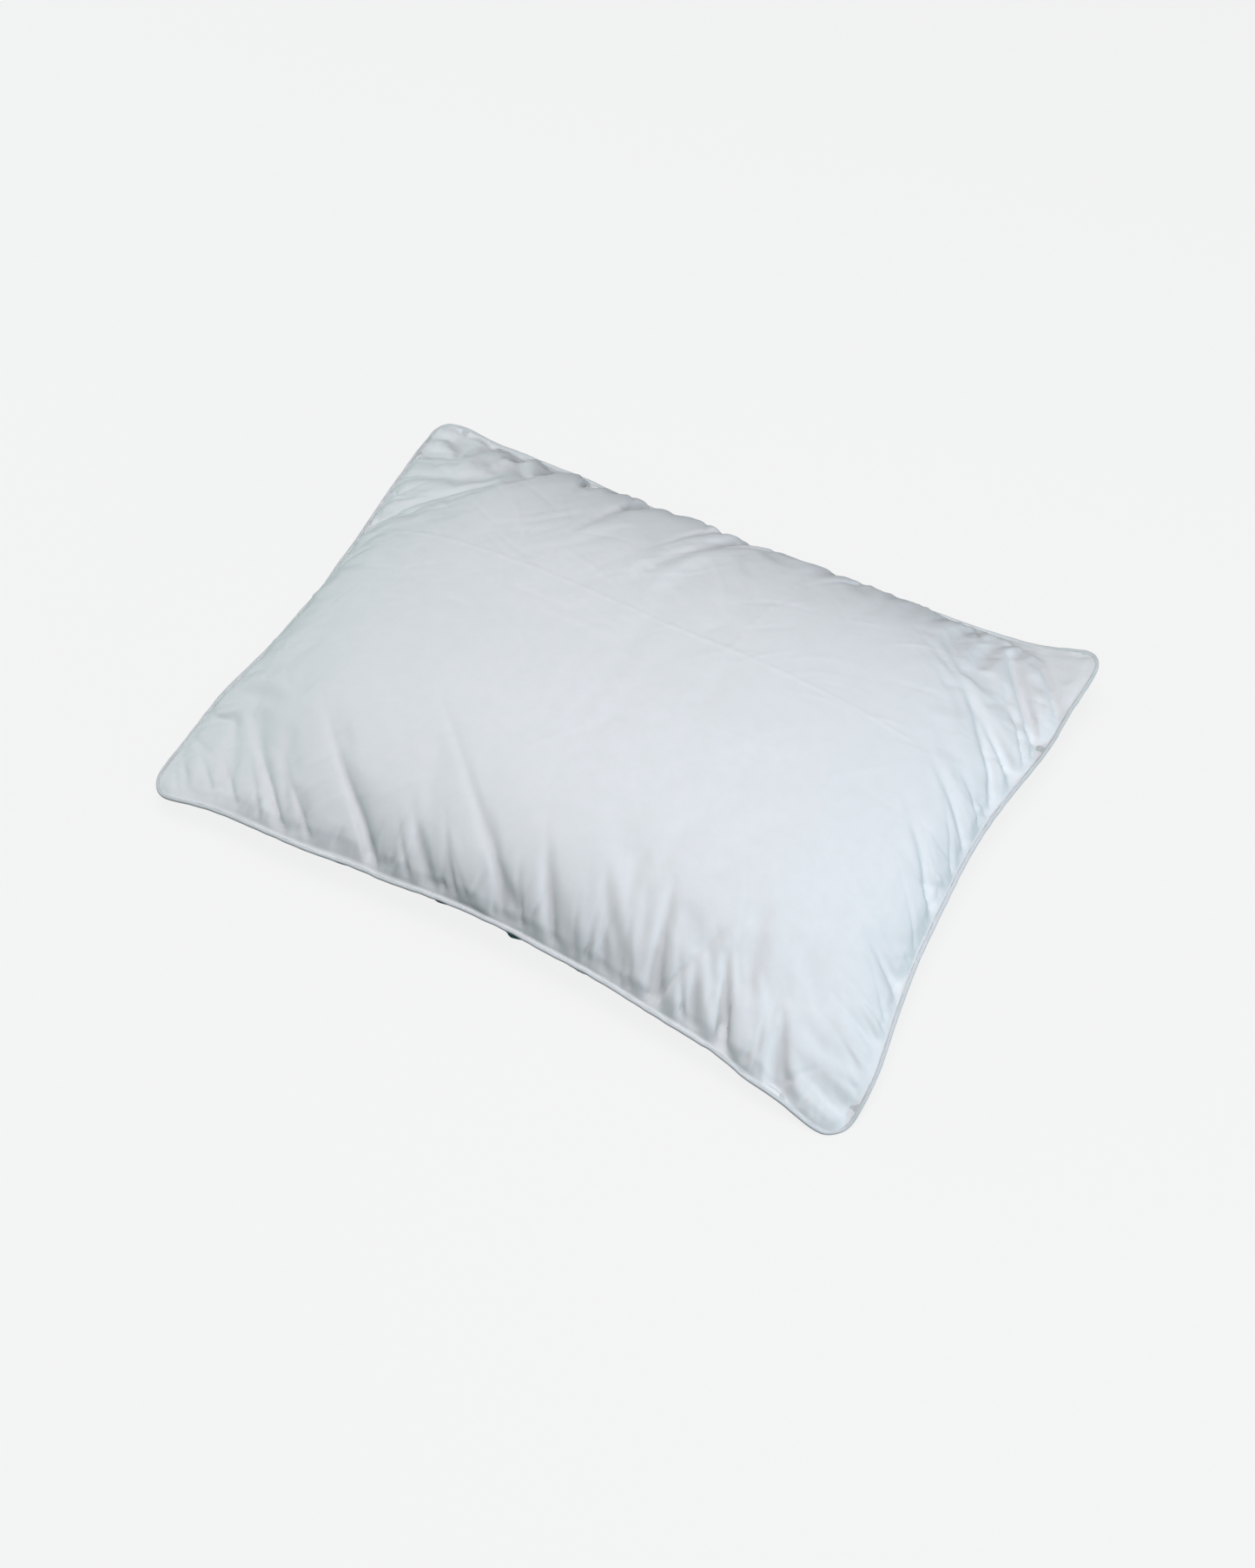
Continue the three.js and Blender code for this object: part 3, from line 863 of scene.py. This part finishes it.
def fill_body(name, low, high, slot, node_name, seed):
    """A closed body of filling between two shares of the shell's height, with soft lumps."""
    inset = 5
    inner = (slice(inset, -inset, 2), slice(inset, -inset, 2))
    thickness = (TOP - BOTTOM)[inner]
    x, y = PANEL.x[inner], PANEL.y[inner]
    dip = 0.012  # as a share of the thickness
    slack = dip * (1 + lumps(x, y, seed))[..., None]
    clear = clearance(np.linalg.norm(thickness, axis=-1, keepdims=True))
    upper = BOTTOM[inner] + thickness * (clear + (1 - 2 * clear) * (high - slack))
    lower = BOTTOM[inner] + thickness * (clear + (1 - 2 * clear) * (low + slack))
    top_index = np.arange(x.size).reshape(x.shape)
    bottom_index = top_index + x.size
    walk = np.concatenate([
        top_index[-1, :-1], top_index[:0:-1, -1], top_index[0, :0:-1], top_index[:-1, 0],
    ])
    rim = ring_quads(walk, walk + x.size)
    quads = np.concatenate([grid_quads(top_index), grid_quads(bottom_index, flipped=True), rim[:, ::-1]])
    piece = mesh_object(name, np.concatenate([upper.reshape(-1, 3), lower.reshape(-1, 3)]), quads)
    return dressed(piece, slot, node_name)


# ---------------------------------------------------------------- stitching and label


def seam_thread(name, side):
    """One thread of the lockstitch, which dips into the cloth between its stitches."""
    stitch_length, points, inset, above = 0.003, 5, 0.0035, 0.0004
    stitches = round(SEAM.distance[-1] / stitch_length)
    stitch = SEAM.distance[-1] / stitches
    steps = np.arange(stitches * points) * stitch / points
    seam = seam_at(steps)
    dip = above * (np.arange(len(steps)) % points == 0)
    height = side * (SEAM_HALF + above - dip)
    centre = seam.line - seam.outward * inset + seam.up * height[:, None]
    piece = swept(name, centre, seam.outward, seam.up, circle(THREAD_RADIUS, 5))
    return dressed(piece, "thread", name)


def closing_stitch():
    """Small slanted hand stitches that close the gap in the right short side."""
    length, spacing, slant = 0.180, 0.0045, 0.0016
    middle = SEAM.distance[np.argmin(np.abs(SEAM.line[:, 1]) + (SEAM.line[:, 0] < 0))]
    share = np.linspace(0, 1, 6)
    out = 0.0014 - 0.0026 * share  # from the piping back onto the panel
    above = 0.0019 + 0.0005 * np.sin(math.pi * share) + 0.0008 * share
    stitches = []
    for start in np.arange(-length / 2, length / 2, spacing):
        seam = seam_at(middle + start + slant * share)
        centre = seam.line + seam.outward * out[:, None] + seam.up * above[:, None]
        stitches.append(swept("stitch", centre, seam.along, seam.up, circle(THREAD_RADIUS, 5), closed=False))
    return dressed(joined("closing_stitch", stitches), "thread", "closing_stitch")


def care_label():
    """A folded loop of blank tape that hangs from the back seam and curls a little."""
    low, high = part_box("care_label")
    width, drop = high.x - low.x, high.z - low.z
    middle = (low.x + high.x) / 2
    back = np.argmin(np.abs(SEAM.line[:, 0] - middle) + (SEAM.line[:, 1] < 0))
    across = np.linspace(-width / 2, width / 2, 17)
    share = np.linspace(-1, 1, 49)  # along the tape, with the fold in the middle
    fold_radius = 0.0009
    depth = drop * (1 - np.abs(share) ** 1.6)
    layer = fold_radius * np.tanh(share * 9)
    seam = seam_at(SEAM.distance[back] - across)
    curl = 0.004 * (depth / drop) ** 2
    ripple = 0.0007 * np.sin(across * 170)
    out = (layer + curl - 0.0004)[:, None] + ripple * (depth / drop)[:, None]
    places = seam.line[None] + out[..., None] * seam.outward * [1, 1, 0]
    places[..., 2] = seam.line[:, 2] - SEAM_HALF - depth[:, None]
    index = np.arange(places.shape[0] * places.shape[1]).reshape(places.shape[:2])
    piece = mesh_object("care_label", places, grid_quads(index))
    return dressed(piece, "label_tape", "care_label")


# ---------------------------------------------------------------- materials


def base_material(name, color, roughness, sheen):
    """A plain dielectric surface whose node tree the other material functions add to."""
    material = bpy.data.materials.new(name)
    material.use_nodes = True
    shader = material.node_tree.nodes["Principled BSDF"]
    shader.inputs["Base Color"].default_value = (*color, 1)
    shader.inputs["Roughness"].default_value = roughness
    shader.inputs["Sheen Weight"].default_value = sheen
    shader.inputs["Sheen Roughness"].default_value = 0.4
    shader.inputs["Specular IOR Level"].default_value = 0.25
    return material, material.node_tree, shader


def node(tree, kind, inputs=None, **settings):
    """A new node with its inputs linked or set."""
    made = tree.nodes.new("ShaderNode" + kind)
    for key, value in settings.items():
        setattr(made, key, value)
    for key, value in (inputs or {}).items():
        if isinstance(value, bpy.types.NodeSocket):
            tree.links.new(value, made.inputs[key])
        else:
            made.inputs[key].default_value = value
    return made


def mottled(tree, shader, place, color, tint, scale):
    """Colour that drifts softly between two tones. Gives back the finer noise, for relief."""
    broad = node(tree, "TexNoise", {"Vector": place, "Scale": scale, "Detail": 3.0, "Roughness": 0.6})
    fine = node(tree, "TexNoise", {"Vector": place, "Scale": scale * 14, "Detail": 2.0, "Roughness": 0.7})
    blend = node(tree, "Math", {0: broad.outputs["Fac"], 1: fine.outputs["Fac"]}, operation="MULTIPLY")
    ramp = node(tree, "ValToRGB", {"Fac": blend.outputs[0]})
    ramp.color_ramp.elements[0].position = 0.12
    ramp.color_ramp.elements[0].color = (*tint, 1)
    ramp.color_ramp.elements[1].position = 0.42
    ramp.color_ramp.elements[1].color = (*color, 1)
    tree.links.new(ramp.outputs["Color"], shader.inputs["Base Color"])
    return fine.outputs["Fac"]


def woven_height(tree, place, pitch, turn=0.0):
    """Height of a plain weave: warp and weft threads that pass over each other by turns."""
    turned = node(tree, "Mapping", {"Vector": place, "Rotation": (0, 0, turn)})
    scale = 2 * math.pi / (20 * pitch)  # a wave texture repeats every 2 pi / 20 at scale 1
    inputs = {"Vector": turned.outputs[0], "Scale": scale, "Distortion": 0.6, "Detail": 1.0}
    warp = node(tree, "TexWave", inputs, bands_direction="X").outputs["Fac"]
    weft = node(tree, "TexWave", inputs, bands_direction="Y").outputs["Fac"]
    return node(tree, "Math", {0: warp, 1: weft}, operation="MULTIPLY").outputs[0]


def bumped(tree, shader, heights):
    """Adds layers of relief to a shader, each as a height socket with its strength and depth."""
    normal = None
    for height, strength, depth in heights:
        inputs = {"Height": height, "Strength": strength, "Distance": depth}
        if normal is not None:
            inputs["Normal"] = normal
        normal = node(tree, "Bump", inputs).outputs["Normal"]
    tree.links.new(normal, shader.inputs["Normal"])


def cotton_material(name, color, tint, pitch, flat_cloth=False, turn=0.0, sheen=0.12):
    """Close-woven cotton. Its weave follows the flat cloth where the mesh keeps the place on it."""
    material, tree, shader = base_material(name, color, 0.86, sheen)
    if flat_cloth:
        place = node(tree, "Attribute", attribute_name="cloth_place").outputs["Vector"]
    else:
        place = node(tree, "TexCoord").outputs["Object"]
    fine = mottled(tree, shader, place, color, tint, 5)
    weave = woven_height(tree, place, pitch, turn)
    slub = node(tree, "TexNoise", {"Vector": place, "Scale": 900.0, "Detail": 2.0}).outputs["Fac"]
    bumped(tree, shader, [(fine, 0.12, 0.0012), (slub, 0.20, 0.0002), (weave, 0.18, 0.0001)])
    rough = node(tree, "MapRange", {"Value": fine, "To Min": 0.80, "To Max": 0.92})
    tree.links.new(rough.outputs["Result"], shader.inputs["Roughness"])
    return material


def thread_material():
    """Twisted polyester: fine slanting ply lines and a slight gloss."""
    color, tint = (0.86, 0.88, 0.89), (0.78, 0.81, 0.82)
    material, tree, shader = base_material("sewing_thread", color, 0.5, 0.2)
    place = node(tree, "TexCoord").outputs["Object"]
    mottled(tree, shader, place, color, tint, 40)
    inputs = {"Vector": place, "Scale": 700.0, "Distortion": 1.0}
    ply = node(tree, "TexWave", inputs, bands_direction="DIAGONAL").outputs["Fac"]
    bumped(tree, shader, [(ply, 0.5, 0.0001)])
    return material


def cord_material():
    """Unbleached cotton yarn."""
    color, tint = (0.80, 0.77, 0.68), (0.68, 0.64, 0.54)
    material, tree, shader = base_material("cotton_cord", color, 0.9, 0.2)
    place = node(tree, "TexCoord").outputs["Object"]
    fine = mottled(tree, shader, place, color, tint, 60)
    bumped(tree, shader, [(fine, 0.5, 0.0002)])
    return material


def fill_material(name, color, tint, scale):
    """Loose plumage: cells of clumps with soft fibres over them."""
    material, tree, shader = base_material(name, color, 1.0, 0.35)
    place = node(tree, "TexCoord").outputs["Object"]
    mottled(tree, shader, place, color, tint, scale / 4)
    clumps = node(tree, "TexVoronoi", {"Vector": place, "Scale": float(scale)}).outputs["Distance"]
    fibres = node(tree, "TexNoise", {"Vector": place, "Scale": scale * 12.0, "Detail": 5.0}).outputs["Fac"]
    bumped(tree, shader, [(clumps, 0.8, 0.004), (fibres, 0.5, 0.001)])
    return material


MATERIALS = {
    "shell_cloth": cotton_material(
        "cotton_percale", (0.80, 0.81, 0.82), (0.76, 0.78, 0.78), pitch=0.00035, flat_cloth=True),
    # The piping is cut from the shell's own percale. Its greyer tone here is painted shade along the tube,
    # not a different cloth.
    "piping_cloth": cotton_material(
        "bias_percale_painted_shade", (0.66, 0.68, 0.69), (0.60, 0.63, 0.63), pitch=0.00035, turn=math.pi / 4),
    "casing_cloth": cotton_material(
        "casing_cambric", (0.74, 0.77, 0.78), (0.67, 0.70, 0.70), pitch=0.0003),
    "label_tape": cotton_material(
        "label_satin", (0.84, 0.85, 0.85), (0.78, 0.80, 0.80), pitch=0.00025, sheen=0.35),
    "thread": thread_material(),
    "cord": cord_material(),
    "down": fill_material("down", (0.84, 0.82, 0.76), (0.74, 0.71, 0.64), scale=70),
    "feather": fill_material("small_feathers", (0.72, 0.68, 0.60), (0.55, 0.50, 0.43), scale=45),
}


def dressed(piece, slot, *nodes):
    """Gives a piece its material and its place in the frame."""
    piece.data.materials.clear()
    piece.data.materials.append(MATERIALS[slot])
    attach(piece, "root")
    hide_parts(*nodes)
    return piece


# ---------------------------------------------------------------- stage


def direction(azimuth, elevation):
    """A unit vector from the pillow: azimuth 0 is the front and 90 the right, in degrees."""
    azimuth, elevation = math.radians(azimuth), math.radians(elevation)
    return Vector((
        math.sin(azimuth) * math.cos(elevation),
        -math.cos(azimuth) * math.cos(elevation),
        math.sin(elevation),
    ))


def make_camera():
    """Looks down on the pillow from the front and a little from the right."""
    back = direction(28.6, 52.0)
    target = Vector((0.0385, -0.068, 0.06))
    distance = 1.888
    data = bpy.data.cameras.new("camera")
    data.lens = 53.5
    data.sensor_width = 36
    camera = bpy.data.objects.new("camera", data)
    camera.location = target + distance * back
    camera.rotation_euler = back.to_track_quat("Z", "Y").to_euler()
    bpy.context.scene.collection.objects.link(camera)
    bpy.context.scene.camera = camera


# Softboxes, as azimuth, elevation, power in watts and colour. The first one is the main light.
LIGHTS = [
    (28, 77, 46.5, (0.99, 0.92, 0.96)),
    (45, 50, 5.0, (0.55, 0.92, 1.0)),
    (90, 15, 25.0, (0.76, 0.90, 1.0)),
    (270, 15, 19.0, (0.80, 1.0, 0.98)),
]


def make_lights():
    """Square softboxes that all point at the pillow."""
    size, distance = 1.0, 2.5
    for azimuth, elevation, power, color in LIGHTS:
        back = direction(azimuth, elevation)
        data = bpy.data.lights.new("softbox", "AREA")
        data.size = size
        data.energy = power
        data.color = color
        light = bpy.data.objects.new("softbox", data)
        light.location = Vector((0, 0, 0.05)) + distance * back
        light.rotation_euler = back.to_track_quat("Z", "Y").to_euler()
        bpy.context.scene.collection.objects.link(light)


def make_world():
    """Very dim teal light from all round, so that no fold is black."""
    world = bpy.data.worlds.new("studio")
    world.use_nodes = True
    background = world.node_tree.nodes["Background"]
    background.inputs["Color"].default_value = (0.20, 0.68, 0.70, 1)
    background.inputs["Strength"].default_value = 0.06
    bpy.context.scene.world = world


def make_floor():
    """A plain pale floor that doesn't throw light up at the pillow."""
    half, level = 12, -0.0005
    corners = [(-half, -half, level), (half, -half, level), (half, half, level), (-half, half, level)]
    floor = mesh_object("floor", corners, [(0, 1, 2, 3)])
    material, _, shader = base_material("floor", (0.06, 0.06, 0.06), 1, 0)
    shader.inputs["Specular IOR Level"].default_value = 0
    shader.inputs["Emission Color"].default_value = (1, 1, 1, 1)
    shader.inputs["Emission Strength"].default_value = 0.85
    floor.data.materials.append(material)
    floor.visible_diffuse = False
    floor.visible_glossy = False


# ---------------------------------------------------------------- assembly


def make_shell():
    """Both panels and the piping between them."""
    for name, places, side in (("top_panel", TOP, 1), ("bottom_panel", BOTTOM, -1)):
        piece = shell_panel(name, places, side)
        dressed(piece, "shell_cloth", "shell_" + name)
    cover = piping_cover()
    piping_cord()


def make_inside():
    """The sheets and the filling, each between two shares of the pillow's thickness."""
    casing_sheet("upper_divider", 0.74, 1)
    casing_sheet("lower_divider", 0.26, -1)
    fill_body("top_down", 0.75, 0.99, "down", "top_down_fill", 31)
    fill_body("core_fill", 0.27, 0.73, "feather", "core_feather_fill", 32)
    fill_body("bottom_down", 0.01, 0.25, "down", "bottom_down_fill", 33)


make_camera()
make_lights()
make_world()
make_floor()
make_shell()
make_inside()
seam_thread("seam_needle_thread", 1)
seam_thread("seam_bobbin_thread", -1)
closing_stitch()
care_label()
bpy.context.scene.view_settings.view_transform = "Standard"
